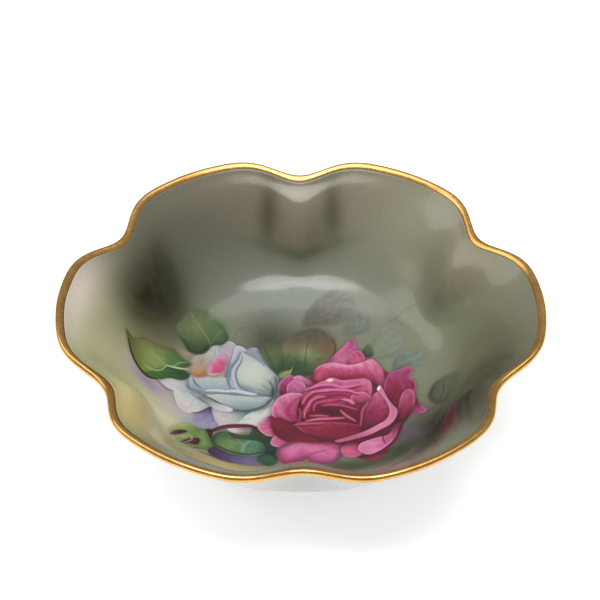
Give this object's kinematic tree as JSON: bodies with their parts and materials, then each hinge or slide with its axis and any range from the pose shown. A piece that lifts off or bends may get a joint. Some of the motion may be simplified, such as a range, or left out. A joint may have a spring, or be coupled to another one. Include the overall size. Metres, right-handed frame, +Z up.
{
  "type": "porcelain serving bowl",
  "caption": "Lobed porcelain serving bowl on a foot ring, with a gilded rim and a painted inside that shows a pink rose, a white rose, buds and leaves.",
  "frame": {"origin": "middle of the foot ring's ground face, on the table", "axes": "+Z up out of the bowl's mouth; +X through the middle of a lobe, the widest way; +Y through the middle of a flute, away from the bouquet"},
  "size_m": [0.2556, 0.244, 0.074],
  "materials": {
    "porcelain": "clear gloss glaze",
    "biscuit_foot": "ground and polished, unglazed",
    "burnished_gold": "burnished gold",
    "ground_colour": "satin gloss, blended by hand",
    "pink_enamel": "gloss enamel",
    "white_enamel": "gloss enamel",
    "green_enamel": "gloss enamel"
  },
  "bodies": {
    "root": {"bowl_body": "porcelain", "foot_ring": "biscuit_foot", "gilt_rim_band": "burnished_gold", "painted_ground": "ground_colour", "pink_rose": "pink_enamel", "white_rose": "white_enamel", "rose_leaf": "green_enamel", "rose_buds": "green_enamel"}
  },
  "joints": []
}
